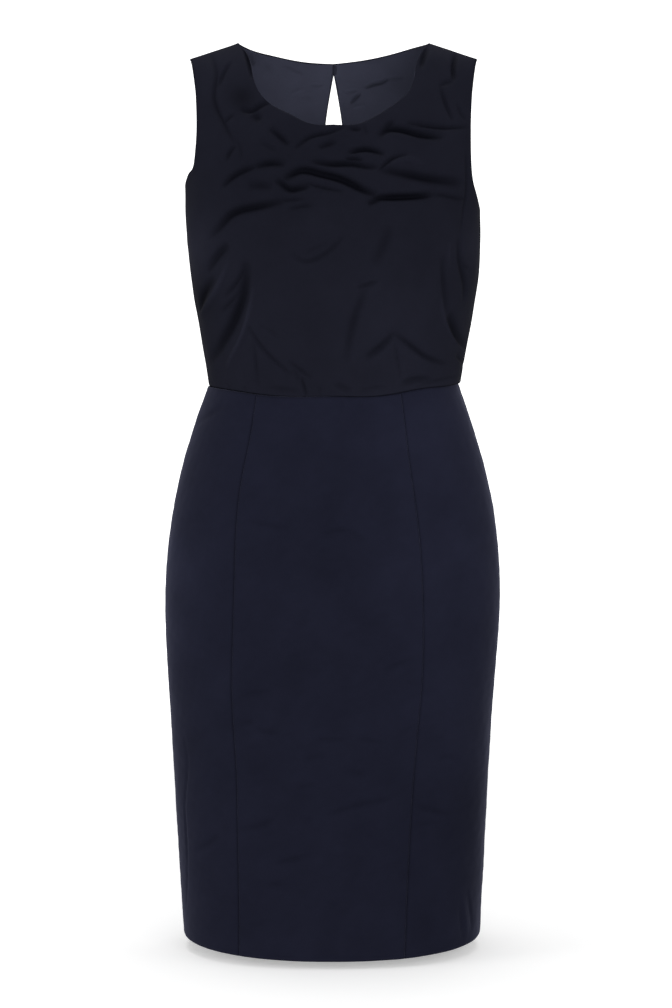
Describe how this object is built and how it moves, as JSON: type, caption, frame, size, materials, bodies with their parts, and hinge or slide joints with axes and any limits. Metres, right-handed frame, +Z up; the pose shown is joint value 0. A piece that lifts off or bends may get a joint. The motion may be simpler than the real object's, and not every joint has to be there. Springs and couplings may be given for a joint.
{
  "type": "sleeveless pencil dress",
  "caption": "Dark navy sleeveless pencil dress with a wide scooped neck, draped satin bodice, matt twill skirt and keyhole back.",
  "frame": {"origin": "between the shoulders, at the middle of the shoulder seams, where the wearer carries the dress", "axes": "+Z up, front towards -Y, the wearer's left towards +X"},
  "size_m": [0.3777, 0.2667, 1.0091],
  "materials": {
    "satin": "soft satin",
    "twill": "matt twill",
    "zip_tape": "matt woven tape",
    "zip_enamel": "satin enamel"
  },
  "bodies": {
    "dress": {"bodice_front": "satin", "bodice_back_left": "satin", "bodice_back_right": "satin", "skirt_front": "twill", "skirt_side_front_left": "twill", "skirt_side_front_right": "twill", "skirt_back_left": "twill", "skirt_back_right": "twill", "zip_tape_left": "zip_tape", "zip_tape_right": "zip_tape", "zip_slider": "zip_enamel", "neck_button": "satin", "neck_loop": "satin"},
    "pull_tab": {"zip_pull": "zip_enamel"}
  },
  "joints": [
    {"name": "zip_pull_swing", "type": "hinge", "parent": "dress", "child": "pull_tab", "pos_m": [0, 0.10037, -0.1155], "axis": [1, 0, 0], "range_deg": [0, 150]}
  ]
}
